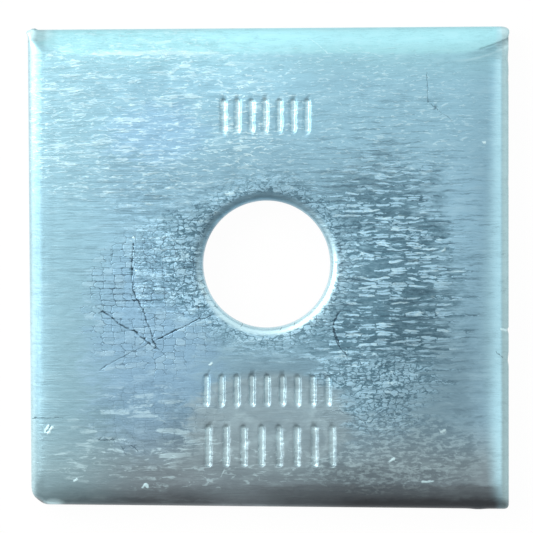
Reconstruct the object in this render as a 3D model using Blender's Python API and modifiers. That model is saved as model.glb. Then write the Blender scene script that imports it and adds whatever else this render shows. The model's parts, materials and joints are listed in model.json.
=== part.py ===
"""Square plate washer: a 3 in square of 1/4 in zinc plated steel with a punched hole for a 3/4 in bolt.

The washer is one piece of metal, cropped from a flat bar. Its left and right edges were sheared, so
the face is drawn down towards them in a long roll, and each wall has a bright band above a broken
one. Its front and back edges are the bar's own rolled edges, which end in a broad nose. No two edges
are alike, so the plate is a loft through contour lines, one above the other, in which every edge
follows its own section. A turned punch then cuts the hole, with the lip, the bright band and the
break-out that a punch leaves.

Units are metres, +Z is up, and the origin is at the middle of the plate, in the plane of the
underside. The sheared edges face along X, and the rolled edges along Y.
"""

import math
from collections import namedtuple

import bmesh
import bpy
import numpy as np
from mathutils import Vector

MM = 0.001

# The plate
SIDE = 76.2 * MM
THICKNESS = 6.35 * MM

# The hole, which sits a little off the middle of the plate, from the face down to the underside
HOLE_PLACE = Vector((-0.25, 0.55)) * MM
HOLE_RADIUS = 10.1 * MM
LIP_WIDTH = 1.55 * MM
LIP_DEPTH = 0.95 * MM
BRIGHT_BAND = 2.2 * MM
BREAK_OUT = 0.35 * MM
EXIT_CHAMFER = 0.3 * MM

# How finely the curves are cut
FACE_CONTOURS = 24
FOOT_CONTOURS = 5
SECTION_SAMPLES = 400
CORNER_STEPS = 9
LIP_STEPS = 9
HOLE_STEPS = 128

# How far the punch stands out of the plate at either end
PUNCH_REACH = 2.0 * MM

# The section of an edge, read inwards from its outermost line. The face is drawn down by roll_depth
# over roll_width, on a curve of the power roll_power. A nose then rounds the last nose_width of the
# face down by nose_depth, into the wall. The wall is upright over bright_band, and below that it
# leans in by break_in at its foot, which ends in foot_radius.
Edge = namedtuple(
    "Edge", "roll_width roll_depth roll_power nose_width nose_depth bright_band break_in foot_radius"
)
NOSE_POWER = 1.5

FRONT = Edge(
    roll_width=8.0 * MM,
    roll_depth=0.35 * MM,
    roll_power=2.0,
    nose_width=3.2 * MM,
    nose_depth=1.6 * MM,
    bright_band=0.0,
    break_in=0.0,
    foot_radius=1.1 * MM,
)
RIGHT = Edge(
    roll_width=7.5 * MM,
    roll_depth=0.72 * MM,
    roll_power=2.0,
    nose_width=1.75 * MM,
    nose_depth=0.9 * MM,
    bright_band=1.6 * MM,
    break_in=0.35 * MM,
    foot_radius=0.35 * MM,
)
BACK = Edge(
    roll_width=6.5 * MM,
    roll_depth=0.15 * MM,
    roll_power=2.0,
    nose_width=4.4 * MM,
    nose_depth=2.6 * MM,
    bright_band=0.0,
    break_in=0.0,
    foot_radius=1.1 * MM,
)
LEFT = Edge(
    roll_width=5.0 * MM,
    roll_depth=0.3 * MM,
    roll_power=2.0,
    nose_width=2.1 * MM,
    nose_depth=1.2 * MM,
    bright_band=1.5 * MM,
    break_in=0.35 * MM,
    foot_radius=0.35 * MM,
)
EDGES = (FRONT, RIGHT, BACK, LEFT)

# A corner's place in a true square, and its shift from there, because the bar was cropped a little
# out of square. wall_radius is its radius along the wall. On the face the two edges meet in a crease,
# which starts with crease_radius.
Corner = namedtuple("Corner", "place shift wall_radius crease_radius")

FRONT_LEFT = Corner(
    place=Vector((-1, -1)),
    shift=Vector((0.45, 0.45)) * MM,
    wall_radius=2.8 * MM,
    crease_radius=2.4 * MM,
)
FRONT_RIGHT = Corner(
    place=Vector((1, -1)),
    shift=Vector((0.15, -0.30)) * MM,
    wall_radius=0.7 * MM,
    crease_radius=0.5 * MM,
)
BACK_RIGHT = Corner(
    place=Vector((1, 1)),
    shift=Vector((0.10, 0.30)) * MM,
    wall_radius=1.0 * MM,
    crease_radius=0.3 * MM,
)
BACK_LEFT = Corner(
    place=Vector((-1, 1)),
    shift=Vector((-0.15, -0.25)) * MM,
    wall_radius=0.6 * MM,
    crease_radius=0.4 * MM,
)
CORNERS = (FRONT_LEFT, FRONT_RIGHT, BACK_RIGHT, BACK_LEFT)


def face_drop(edge, inset):
    """How far the face lies below the flat at a distance inside the edge's outermost line."""
    rolled = np.clip(1.0 - inset / edge.roll_width, 0.0, 1.0)
    rounded = np.clip(1.0 - inset / edge.nose_width, 0.0, 1.0)
    nose = 1.0 - (1.0 - rounded**NOSE_POWER) ** (1.0 / NOSE_POWER)
    return edge.roll_depth * rolled**edge.roll_power + edge.nose_depth * nose


def full_drop(edge):
    """The depth at which the nose has turned into the wall."""
    return edge.roll_depth + edge.nose_depth


def foot_radius(edge):
    """The radius of an edge's foot, which is never more than half the height of its wall."""
    return min(edge.foot_radius, (THICKNESS - full_drop(edge)) / 2)


def wall_inset(edge, height):
    """How far the wall lies inside the outermost line at a height above the underside."""
    break_top = THICKNESS - full_drop(edge) - edge.bright_band
    broken = max(0.0, 1.0 - height / break_top)
    below = max(0.0, 1.0 - height / foot_radius(edge))
    return edge.break_in * broken + foot_radius(edge) * (1.0 - math.sqrt(1.0 - below**2))


def inset_at(edge, height):
    """How far inside its outermost line the edge's surface lies at a height above the underside."""
    drop = THICKNESS - height
    if drop >= full_drop(edge):
        return wall_inset(edge, height)
    insets = np.linspace(max(edge.roll_width, edge.nose_width), 0.0, SECTION_SAMPLES)
    return float(np.interp(drop, face_drop(edge, insets), insets))


def edge_lines():
    """A point and the outward normal of each edge's outermost line, in the order of EDGES."""
    points = [corner.place * SIDE / 2 + corner.shift for corner in CORNERS]
    lines = []
    for start, end in zip(points, points[1:] + points[:1]):
        along = (end - start).normalized()
        lines.append((start, Vector((along.y, -along.x))))
    return lines


def moved_in(line, distance):
    """A line moved inwards, against its outward normal."""
    point, normal = line
    return point - normal * distance, normal


def crossing(first, second):
    """The point where two lines cross."""
    sides = np.array([normal for _, normal in (first, second)])
    reach = np.array([normal.dot(point) for point, normal in (first, second)])
    return Vector(np.linalg.solve(sides, reach))


def corner_radius(corner, before, after, height):
    """A corner's radius at a height: its crease radius on the face, growing to its wall radius."""
    depth = min(full_drop(before), full_drop(after))
    share = min(1.0, (THICKNESS - height) / depth)
    return corner.crease_radius + share * (corner.wall_radius - corner.crease_radius)


def contour(height):
    """The outline of the plate at a height: four straight edges joined by four arcs."""
    lines = edge_lines()
    points = []
    for index, corner in enumerate(CORNERS):
        before, after = EDGES[index - 1], EDGES[index]
        radius = corner_radius(corner, before, after, height)
        first = moved_in(lines[index - 1], inset_at(before, height) + radius)
        second = moved_in(lines[index], inset_at(after, height) + radius)
        centre = crossing(first, second)
        start = math.atan2(first[1].y, first[1].x)
        sweep = second[1].angle_signed(first[1])
        for step in range(CORNER_STEPS + 1):
            angle = start + sweep * step / CORNER_STEPS
            points.append(centre + radius * Vector((math.cos(angle), math.sin(angle))))
    return points


def contour_heights():
    """Heights from the underside to the face, close together at the foot and near the face."""
    foot = max(foot_radius(edge) for edge in EDGES)
    deepest = max(full_drop(edge) for edge in EDGES)
    turns = [math.pi / 2 * step / FOOT_CONTOURS for step in range(FOOT_CONTOURS + 1)]
    shares = [(step / FACE_CONTOURS) ** 2 for step in range(FACE_CONTOURS, -1, -1)]
    lower = [foot * (1.0 - math.cos(turn)) for turn in turns]
    upper = [THICKNESS - deepest * share for share in shares]
    return lower + upper


def new_object(name, bm, collection):
    """A mesh object made from a bmesh, in the given collection."""
    mesh = bpy.data.meshes.new(name)
    bm.to_mesh(mesh)
    bm.free()
    obj = bpy.data.objects.new(name, mesh)
    collection.objects.link(obj)
    return obj


def make_plate(collection):
    """The solid plate: a loft through the contours, closed by the underside and the face."""
    bm = bmesh.new()
    rings = []
    for height in contour_heights():
        rings.append([bm.verts.new((point.x, point.y, height)) for point in contour(height)])
    for lower, upper in zip(rings, rings[1:]):
        for index in range(len(lower)):
            bm.faces.new((lower[index - 1], lower[index], upper[index], upper[index - 1]))
    bm.faces.new(list(reversed(rings[0])))
    bm.faces.new(rings[-1])
    return new_object("square_plate_washer", bm, collection)


def punch_profile():
    """Half the section of what the punch removes, from above the face to below the underside."""
    outer = HOLE_RADIUS + LIP_WIDTH
    profile = [(0.0, THICKNESS + PUNCH_REACH), (outer, THICKNESS + PUNCH_REACH)]
    for step in range(LIP_STEPS + 1):
        turn = math.pi / 2 * step / LIP_STEPS
        depth = LIP_DEPTH * (1.0 - math.cos(turn))
        profile.append((outer - LIP_WIDTH * math.sin(turn), THICKNESS - depth))
    widest = HOLE_RADIUS + BREAK_OUT
    profile.append((HOLE_RADIUS, THICKNESS - LIP_DEPTH - BRIGHT_BAND))
    profile.append((widest, EXIT_CHAMFER))
    profile.append((widest + EXIT_CHAMFER, 0.0))
    profile.append((widest + EXIT_CHAMFER, -PUNCH_REACH))
    profile.append((0.0, -PUNCH_REACH))
    return profile


def make_punch(collection):
    """The punch, turned about the axis of the hole. It is a cutter, and isn't part of the washer."""
    bm = bmesh.new()
    points = [bm.verts.new((radius, 0.0, height)) for radius, height in punch_profile()]
    for upper, lower in zip(points, points[1:]):
        bm.edges.new((upper, lower))
    punch = new_object("punch", bm, collection)
    punch.location = HOLE_PLACE.to_3d()
    turn = punch.modifiers.new("turn", "SCREW")
    turn.steps = HOLE_STEPS
    turn.render_steps = HOLE_STEPS
    turn.use_merge_vertices = True
    turn.merge_threshold = 0.00001
    punch.hide_render = True
    punch.display_type = "WIRE"
    return punch


def zinc_plate():
    """Bright zinc plating with the cool blue cast that its passivation gives."""
    material = bpy.data.materials.new("zinc_plate")
    material.use_nodes = True
    shader = material.node_tree.nodes["Principled BSDF"]
    shader.inputs["Base Color"].default_value = (0.34, 0.50, 0.58, 1.0)
    shader.inputs["Metallic"].default_value = 1.0
    shader.inputs["Roughness"].default_value = 0.42
    return material


def new_collection(name):
    """A collection of the scene."""
    collection = bpy.data.collections.new(name)
    bpy.context.scene.collection.children.link(collection)
    return collection


def main():
    """Clears the scene and builds the washer."""
    for obj in list(bpy.data.objects):
        bpy.data.objects.remove(obj)
    washer = make_plate(new_collection("square_plate_washer"))
    hole = washer.modifiers.new("hole", "BOOLEAN")
    hole.operation = "DIFFERENCE"
    hole.object = make_punch(new_collection("cutters"))
    washer.data.materials.append(zinc_plate())
    washer.data.shade_smooth()
    washer.data.set_sharp_from_angle(angle=math.radians(30.0))


main()
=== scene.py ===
# %% [markdown]
# # A square plate washer
# The object is one thick plate of zinc plated steel with a punched hole. The imported solid already
# has its true size and form: four unlike edges, creased corners and the hole's rolled lip. This
# notebook dresses it: a fine skin over the solid, stamps and cracks pressed into that skin, and
# plating that is streaked, flaked and dulled as the real one is, with painted highlights and painted
# shade at the lip, at the edges and towards the front.

# %% Load the solid
import json
import math

import bmesh
import bpy
import numpy as np
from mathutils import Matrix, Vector
from mathutils.bvhtree import BVHTree


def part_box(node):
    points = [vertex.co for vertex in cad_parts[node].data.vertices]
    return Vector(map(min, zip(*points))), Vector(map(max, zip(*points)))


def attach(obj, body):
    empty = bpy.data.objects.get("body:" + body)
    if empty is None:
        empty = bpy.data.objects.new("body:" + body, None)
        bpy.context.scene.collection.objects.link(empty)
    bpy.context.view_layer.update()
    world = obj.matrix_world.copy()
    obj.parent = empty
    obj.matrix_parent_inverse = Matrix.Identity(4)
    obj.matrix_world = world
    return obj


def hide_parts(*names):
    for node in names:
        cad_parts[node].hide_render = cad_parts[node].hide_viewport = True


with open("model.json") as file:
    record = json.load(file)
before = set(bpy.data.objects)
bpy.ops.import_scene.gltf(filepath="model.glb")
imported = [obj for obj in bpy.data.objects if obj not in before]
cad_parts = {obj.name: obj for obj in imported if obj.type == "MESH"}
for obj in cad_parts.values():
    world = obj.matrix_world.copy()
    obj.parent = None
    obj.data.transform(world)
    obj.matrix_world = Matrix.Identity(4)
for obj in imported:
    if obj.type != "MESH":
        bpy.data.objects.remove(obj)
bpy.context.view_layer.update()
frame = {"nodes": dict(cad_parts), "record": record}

MM = 0.001
NODE = "square_plate_washer"
low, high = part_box(NODE)
print("solid:", [round(side / MM, 2) for side in high - low], "mm")

# %% [markdown]
# ## What the solid tells
# Rays are the simplest way to ask a solid where its surface is. A ray straight down gives the height
# of the face at a place, and a level ray gives the place of a wall at a height. The axis of the hole
# is the middle of the opening that the record states.

# %% Ray tools
solid = frame["nodes"][NODE].data
surface = BVHTree.FromPolygons([v.co for v in solid.vertices], [p.vertices for p in solid.polygons])
opening = frame["record"]["physics"]["openings"][0]["box_m"]
hole = Vector(((opening[0][0] + opening[1][0]) / 2, (opening[0][1] + opening[1][1]) / 2))
face_height = high.z


def hit(start, direction):
    """Where a ray meets the solid."""
    found, _, _, _ = surface.ray_cast(start, direction)
    if found is None:
        raise ValueError(f"no surface from {start[:]} towards {direction[:]}")
    return found


def face_at(place):
    """The point of the face above a place in plan."""
    return hit(Vector((place.x, place.y, face_height * 2)), Vector((0, 0, -1)))


print("hole at", [round(c / MM, 2) for c in hole], "mm, face at", round(face_height / MM, 2), "mm")

# %% [markdown]
# ## Spokes
# The skin is a grid of rings and spokes. Near the hole the rings are round, and near the edges they
# are square, so the grid runs along every edge and crease. Each spoke leaves the hole, crosses a
# rounded square in the middle of the face, and goes on square to the edge. At the corners the spokes
# fan out, and they lie closest together along the diagonal, where the corner is small and round.

# %% Spokes
CORE_INSET = 8.5 * MM
CORE_RADIUS = 6.0 * MM
SIDE_STEPS = 68
FAN_STEPS = 40
FAN_CROWDING = 1.6

QUARTERS = [Vector((1, 1)), Vector((-1, 1)), Vector((-1, -1)), Vector((1, -1))]


def core_spokes():
    """A point on the rounded square and the outward direction there, for each spoke."""
    centre = (low + high).xy / 2
    half = (high - low).xy / 2 - Vector((CORE_INSET + CORE_RADIUS,) * 2)
    corners = [centre + quarter * half for quarter in QUARTERS]
    spokes = []
    for index, corner in enumerate(corners):
        for step in range(FAN_STEPS):
            offset = 2 * step / FAN_STEPS - 1
            bent = math.copysign(abs(offset) ** FAN_CROWDING, offset)
            angle = math.pi / 4 * (2 * index + 1 + bent)
            out = Vector((math.cos(angle), math.sin(angle)))
            spokes.append((corner + out * CORE_RADIUS, out))
        angle = math.pi / 2 * (index + 1)
        out = Vector((math.cos(angle), math.sin(angle)))
        after = corners[(index + 1) % 4]
        for step in range(SIDE_STEPS):
            spokes.append((corner.lerp(after, step / SIDE_STEPS) + out * CORE_RADIUS, out))
    return spokes


spokes = core_spokes()
print("spokes:", len(spokes))

# %% [markdown]
# ## Rings on the face
# Each ring holds one point on every spoke. The face's rings come from rays straight down. They lie
# close together at the lip of the hole and at the edges, where the form turns, and further apart on
# the flat.

# %% Rings on the face
LIP_RINGS = 10
LIP_WIDTH = 2.5 * MM
LIP_START = 0.02 * MM
LIP_CROWDING = 1.3
EDGE_CROWDING = 1.5
MIDDLE_RINGS = 22
EDGE_RINGS = 28
LAST_INSET = 0.25 * MM
WIDEST_HEIGHTS = (3.3 * MM, 4.0 * MM, 4.7 * MM)

hole_radius = (hit(Vector((hole.x, hole.y, WIDEST_HEIGHTS[1])), Vector((1, 0, 0))).xy - hole).length


def around_hole(spoke, radius):
    """The place on a spoke at a distance from the hole's axis."""
    return hole + (spoke[0] - hole).normalized() * radius


def reach(spoke):
    """How far a spoke goes from the rounded square to the widest line of the edge."""
    start, out = spoke
    walls = [hit(Vector((start.x, start.y, height)), out.to_3d()).xy for height in WIDEST_HEIGHTS]
    return max((wall - start).length for wall in walls)


def lip_ring(share):
    radius = hole_radius + LIP_START + LIP_WIDTH * share**LIP_CROWDING
    return [face_at(around_hole(spoke, radius)) for spoke in spokes]


def middle_ring(share):
    starts = [around_hole(spoke, hole_radius + LIP_WIDTH) for spoke in spokes]
    return [face_at(start.lerp(spoke[0], share)) for start, spoke in zip(starts, spokes)]


def edge_ring(share):
    eased = 1 - (1 - share) ** EDGE_CROWDING
    lengths = [(length - LAST_INSET) * eased for length in reaches]
    return [face_at(start + out * length) for (start, out), length in zip(spokes, lengths)]


reaches = [reach(spoke) for spoke in spokes]
rings = [lip_ring(step / LIP_RINGS) for step in range(LIP_RINGS + 1)]
rings += [middle_ring(step / MIDDLE_RINGS) for step in range(1, MIDDLE_RINGS + 1)]
rings += [edge_ring(step / EDGE_RINGS) for step in range(1, EDGE_RINGS + 1)]
face_rings = len(rings)
print("rings on the face:", face_rings)

# %% [markdown]
# ## Rings on the walls and underneath
# From straight above, a wall is only a line. So the wall's rings come from a fan of rays that starts
# inside the metal, and aims first at points down the wall and then at points under the foot. The
# underside is flat and needs few rings. The last rings climb the wall of the hole and meet the lip.

# %% Rings on the walls and underneath
AIM_INSET = 1.3 * MM
AIM_HEIGHT = 3.0 * MM
WALL_RINGS = 10
WALL_FOOT = 0.5 * MM
FOOT_AIMS = [(0.0, 0.3), (0.0, 0.12), (0.08, 0.0), (0.22, 0.0), (0.4, 0.0), (0.62, 0.0), (0.88, 0.0)]
UNDERSIDE_RINGS = 6
UNDERSIDE_INSET = 1.6 * MM
HOLE_FLARE = 0.8 * MM
HOLE_HEIGHTS = [0.02, 0.3, 0.9, 1.6, 2.3, 3.0, 3.5, 4.0, 4.4, 4.8, 5.15]


def aimed(spoke, length, inset, height):
    """The point of the wall that a ray from inside the metal meets on its way to an aim."""
    start, out = spoke
    source = start + out * (length - AIM_INSET)
    aim = out.to_3d() * (AIM_INSET - inset) + Vector((0, 0, height - AIM_HEIGHT))
    return hit(Vector((source.x, source.y, AIM_HEIGHT)), aim.normalized())


def wall_ring(share):
    heights = [point.z + (WALL_FOOT - point.z) * share for point in rings[face_rings - 1]]
    return [aimed(*given, 0.0, height) for *given, height in zip(spokes, reaches, heights)]


def foot_ring(inset, height):
    return [aimed(spoke, length, inset * MM, height * MM) for spoke, length in zip(spokes, reaches)]


def underside_ring(share):
    lengths = [length - UNDERSIDE_INSET for length in reaches]
    outer = [start + out * length for (start, out), length in zip(spokes, lengths)]
    inner = [around_hole(spoke, hole_radius + HOLE_FLARE) for spoke in spokes]
    return [first.lerp(last, share).to_3d() for first, last in zip(outer, inner)]


def hole_ring(height):
    source = Vector((hole.x, hole.y, height * MM))
    return [hit(source, (spoke[0] - hole).normalized().to_3d()) for spoke in spokes]


rings += [wall_ring(step / WALL_RINGS) for step in range(1, WALL_RINGS + 1)]
rings += [foot_ring(inset, height) for inset, height in FOOT_AIMS]
outside_rings = len(rings)
rings += [underside_ring(step / UNDERSIDE_RINGS) for step in range(UNDERSIDE_RINGS + 1)]
rings += [hole_ring(height) for height in HOLE_HEIGHTS]
print("rings in all:", len(rings))

# %% [markdown]
# ## Smoothing
# The solid is made of flat facets, and the rays repeat them. Each ring moves part of the way to its
# neighbours, over and over, which irons the facets out. The underside and the foot of the hole keep
# their places, because their edges are sharp. Round the hole the points are evened along the ring
# too, so that the hole is truly round.

# %% Smooth the rings and build the skin
ACROSS_PASSES = 7
AROUND_PASSES = 8
SHARP_HOLE_RINGS = 8

grid = np.array([[tuple(point) for point in ring] for ring in rings])


def evened(points, axis):
    """Each point moved half way to the middle of its two neighbours."""
    return (np.roll(points, 1, axis=axis) + 2 * points + np.roll(points, -1, axis=axis)) / 4


moving = np.ones(len(grid), bool)
moving[outside_rings - 1 : outside_rings + UNDERSIDE_RINGS + 1 + SHARP_HOLE_RINGS] = False
for _ in range(ACROSS_PASSES):
    grid[moving] = evened(grid, 0)[moving]
round_rings = list(range(LIP_RINGS)) + list(range(len(grid) - len(HOLE_HEIGHTS), len(grid)))
for _ in range(AROUND_PASSES):
    grid[round_rings] = evened(grid[round_rings], 1)


def skin_mesh(grid):
    """A closed mesh of quads through the grid."""
    rows, columns, _ = grid.shape
    index = np.arange(rows * columns).reshape(rows, columns)
    outer = np.roll(index, -1, axis=0)
    quads = np.stack([index, outer, np.roll(outer, -1, axis=1), np.roll(index, -1, axis=1)], axis=-1)
    mesh = bpy.data.meshes.new("washer")
    mesh.from_pydata(grid.reshape(-1, 3).tolist(), [], quads.reshape(-1, 4).tolist())
    mesh.validate()
    return mesh


def add_object(name, data):
    """A new object in the scene, with a mesh, a lamp or a lens."""
    made = bpy.data.objects.new(name, data)
    bpy.context.scene.collection.objects.link(made)
    return made


skin = add_object("washer", skin_mesh(grid))
print("skin:", len(skin.data.vertices), "points,", len(skin.data.polygons), "quads")

# %% [markdown]
# ## A small language for nodes
# Node trees are easier to read as expressions. This class holds one output of a node. Arithmetic on
# it adds the Math nodes, `vector` adds Vector Math, and `node` adds any other node: first its
# settings, then the values or links of its sockets.

# %% The node language
class Wire:
    """One output in a node tree."""

    def __init__(self, socket):
        self.socket = socket

    def node(self, kind, settings=None, inputs=None, output=0):
        """Adds a node to the same tree and returns one of its outputs."""
        return add_node(self.socket.id_data, kind, settings, inputs, output)

    def math(self, operation, first, second=0.0):
        return self.node("ShaderNodeMath", {"operation": operation}, {0: first, 1: second})

    def vector(self, operation, other):
        second = "Scale" if operation == "SCALE" else 1
        return self.node("ShaderNodeVectorMath", {"operation": operation}, {0: self, second: other})

    def __add__(self, other):
        return self.math("ADD", self, other)

    def __radd__(self, other):
        return self.math("ADD", other, self)

    def __sub__(self, other):
        return self.math("SUBTRACT", self, other)

    def __rsub__(self, other):
        return self.math("SUBTRACT", other, self)

    def __mul__(self, other):
        return self.math("MULTIPLY", self, other)

    def __rmul__(self, other):
        return self.math("MULTIPLY", other, self)

    def __abs__(self):
        return self.math("ABSOLUTE", self)


def add_node(tree, kind, settings=None, inputs=None, output=0):
    """Adds a node: first its settings, then the values or links of its sockets."""
    made = tree.nodes.new(kind)
    for name, value in (settings or {}).items():
        if name == "stops":
            set_stops(made.color_ramp, value)
        else:
            setattr(made, name, value)
    for name, value in (inputs or {}).items():
        if isinstance(value, Wire):
            tree.links.new(value.socket, made.inputs[name])
        else:
            made.inputs[name].default_value = value
    return Wire(made.outputs[output]) if len(made.outputs) else None


def set_stops(ramp, stops):
    """Gives a colour ramp its stops, each a place and a colour."""
    while len(ramp.elements) < len(stops):
        ramp.elements.new(1.0)
    for element, (place, colour) in zip(ramp.elements, stops):
        element.position = place
        element.color = (*colour, 1.0)


print("node language ready")

# %% [markdown]
# ## Words of that language
# Three helpers say what the trees ask for most: a soft step, a noise with its own number of waves
# along each axis, and the parts of a vector.

# %% Steps, noises and components
def rise(value, start, end):
    """0 below the start, 1 above the end, and smooth between them."""
    inputs = {"Value": value, "From Min": start, "From Max": end}
    return value.node("ShaderNodeMapRange", {"interpolation_type": "SMOOTHSTEP"}, inputs)


def noise(place, waves, detail=2.0, roughness=0.5, distortion=0.0):
    """Noise from 0 to 1, with so many waves to a unit of length along each axis."""
    inputs = {"Vector": place.vector("MULTIPLY", waves), "Scale": 1.0, "Detail": detail}
    inputs.update({"Roughness": roughness, "Distortion": distortion})
    return place.node("ShaderNodeTexNoise", {}, inputs)


def components(vector):
    """The X, Y and Z of a vector."""
    first = vector.node("ShaderNodeSeparateXYZ", {}, {0: vector})
    return [Wire(output) for output in first.socket.node.outputs]


print("helpers ready")

# %% [markdown]
# ## Running a tree
# A Geometry Nodes tree acts through a modifier. Its inputs are set by each socket's identifier, which
# never changes, and then the evaluated result becomes a plain mesh and the modifier goes.

# %% Run a tree on an object
def new_tree(name, inputs):
    """A tree that takes and gives geometry, the wires of its inputs, and their identifiers."""
    tree = bpy.data.node_groups.new(name, "GeometryNodeTree")
    tree.interface.new_socket("Geometry", in_out="OUTPUT", socket_type="NodeSocketGeometry")
    tree.interface.new_socket("Geometry", in_out="INPUT", socket_type="NodeSocketGeometry")
    identifiers = {}
    for label, kind in inputs.items():
        socket = tree.interface.new_socket(label, in_out="INPUT", socket_type="NodeSocket" + kind)
        identifiers[label] = socket.identifier
    source = tree.nodes.new("NodeGroupInput")
    wires = {socket.name: Wire(socket) for socket in source.outputs if socket.name}
    return tree, wires, identifiers


def end_tree(geometry, material=None):
    """Ends a tree with real geometry that has its material."""
    real = geometry.node("GeometryNodeRealizeInstances", {}, {0: geometry})
    inputs = {"Geometry": real}
    if material:
        inputs["Material"] = material
    finished = geometry.node("GeometryNodeSetMaterial", {}, inputs)
    geometry.node("NodeGroupOutput", {}, {0: finished})


def run_tree(obj, tree, identifiers, values):
    """Runs a tree on an object and keeps the result as its plain mesh."""
    modifier = obj.modifiers.new(tree.name, "NODES")
    modifier.node_group = tree
    for label, value in values.items():
        modifier[identifiers[label]] = value
    evaluated = obj.evaluated_get(bpy.context.evaluated_depsgraph_get())
    mesh = bpy.data.meshes.new_from_object(evaluated)
    obj.modifiers.remove(modifier)
    obj.data = mesh


def bare_object(name, points=(), edges=()):
    """An object of loose points and edges, given in millimetres."""
    mesh = bpy.data.meshes.new(name)
    mesh.from_pydata([(x * MM, y * MM, 0) for x, y in points], edges, [])
    return add_object(name, mesh)


print("tree tools ready")

# %% [markdown]
# ## Rows of ticks
# The real plate is stamped in three places. Here each place holds a plain row of upright ticks, all
# of one height. A row repeats one short line along another, so a tree makes it: a line of points, and
# a short upright line on each of them.

# %% Rows of ticks
TICK_ROWS = [
    {"Centre": (-0.5, 24.0), "Count": 7, "Pitch": 2.2, "Height": 4.4},
    {"Centre": (-0.2, -19.4), "Count": 9, "Pitch": 2.4, "Height": 4.0},
    {"Centre": (0.3, -28.2), "Count": 8, "Pitch": 2.8, "Height": 5.6},
]


def tick_row_tree():
    """A row of upright ticks, from its count, pitch, height and centre."""
    kinds = {"Count": "Int", "Pitch": "Float", "Height": "Float", "Centre": "Vector"}
    tree, given, identifiers = new_tree("tick row", kinds)
    span = (given["Count"] - 1) * given["Pitch"]
    start = span.node("ShaderNodeCombineXYZ", {}, {"X": span * -0.5})
    start = start.vector("ADD", given["Centre"])
    step = start.node("ShaderNodeCombineXYZ", {}, {"X": given["Pitch"]})
    row_inputs = {"Count": given["Count"], "Start Location": start, "Offset": step}
    row = start.node("GeometryNodeMeshLine", {}, row_inputs)
    below = start.node("ShaderNodeCombineXYZ", {}, {"Y": given["Height"] * -0.5})
    upright = start.node("ShaderNodeCombineXYZ", {}, {"Y": given["Height"]})
    tick_inputs = {"Count": 2, "Start Location": below, "Offset": upright}
    tick = start.node("GeometryNodeMeshLine", {}, tick_inputs)
    end_tree(row.node("GeometryNodeInstanceOnPoints", {}, {"Points": row, "Instance": tick}))
    return tree, identifiers


def paths_of(mesh):
    """The edges of a mesh as paths in plan, in millimetres."""
    points = [tuple(vertex.co.xy / MM) for vertex in mesh.vertices]
    return [[points[first], points[last]] for first, last in (edge.vertices for edge in mesh.edges)]


row_tree, row_inputs = tick_row_tree()
ticks = []
for row in TICK_ROWS:
    sizes = {label: row[label] * MM for label in ("Pitch", "Height")}
    centre = (row["Centre"][0] * MM, row["Centre"][1] * MM, 0.0)
    carrier = bare_object("tick_row")
    run_tree(carrier, row_tree, row_inputs, {**sizes, "Count": row["Count"], "Centre": centre})
    ticks += paths_of(carrier.data)
    bpy.data.objects.remove(carrier)
print("ticks:", len(ticks))

# %% [markdown]
# ## Cracks, creases and chips
# Bending has cracked the brittle plating on the left of the face, and a few short cracks are
# elsewhere. Finer hairlines join them. At the back right corner the drawn edges meet in a crease.
# Small chips of pale zinc stick to the face, and something sharp has left thin bright scratches.
# Each of them is a path of a few points, in millimetres from the middle of the plate.

# %% Paths of the marks
CRACKS = [
    [(-21.3, 3.7), (-21.5, 0.9), (-21.6, -1.8), (-21.3, -3.9), (-20.5, -5.5),
     (-19.7, -6.8), (-19.3, -8.3), (-18.5, -10.1), (-18.3, -11.4), (-17.7, -12.5)],
    [(-25.9, -7.1), (-24.7, -7.9), (-23.8, -8.8), (-22.6, -9.5), (-21.2, -10.0), (-20.6, -10.5),
     (-20.2, -10.9), (-19.1, -11.8), (-17.9, -12.7), (-17.1, -13.0)],
    [(-17.5, -11.4), (-15.1, -10.2), (-13.4, -9.4), (-11.0, -8.1), (-10.0, -8.0), (-9.1, -7.5)],
    [(11.4, -6.8), (10.4, -8.6), (10.2, -9.4), (10.5, -10.9), (11.2, -12.4), (12.4, -13.9)],
    [(10.35, -9.6), (10.75, -10.9), (11.35, -12.2)],
]
HAIRLINES = [
    [(-19.0, -12.1), (-22.2, -13.7), (-24.3, -14.8), (-26.7, -16.2)],
    [(-25.9, -7.1), (-27.3, -6.1)],
    [(-26.5, -5.2), (-21.5, -5.3), (-17.1, -5.2)],
    [(-25.1, -3.4), (-18.3, -3.3)],
    [(-11.0, -6.1), (-11.0, -8.0)],
    [(-10.3, -6.7), (-10.8, -7.9)],
    [(-21.7, -8.3), (-21.1, -8.2)],
    [(9.8, -22.4), (12.0, -23.0), (14.2, -23.7), (15.3, -24.6)],
    [(25.1, 30.8), (25.2, 26.2), (26.8, 24.9), (29.2, 23.2)],
    [(-23.4, -28.1), (-22.5, -29.5)],
    [(-22.5, -27.5), (-20.5, -29.1)],
    [(-26.9, -27.4), (-24.2, -27.1)],
    [(-37.4, -23.9), (-32.3, -23.8)],
    [(-35.0, -25.9), (-34.3, -24.9)],
    [(35.9, -13.3), (37.1, -14.2)],
    [(-4.3, -9.4), (-4.1, -9.0)],
    [(1.8, -9.9), (2.1, -9.5)],
    [(4.0, -9.2), (4.2, -8.8)],
]
CREASES = [[(33.6, 34.55), (35.1, 35.05), (36.4, 35.6), (37.3, 36.0), (38.1, 36.45)]]
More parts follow.
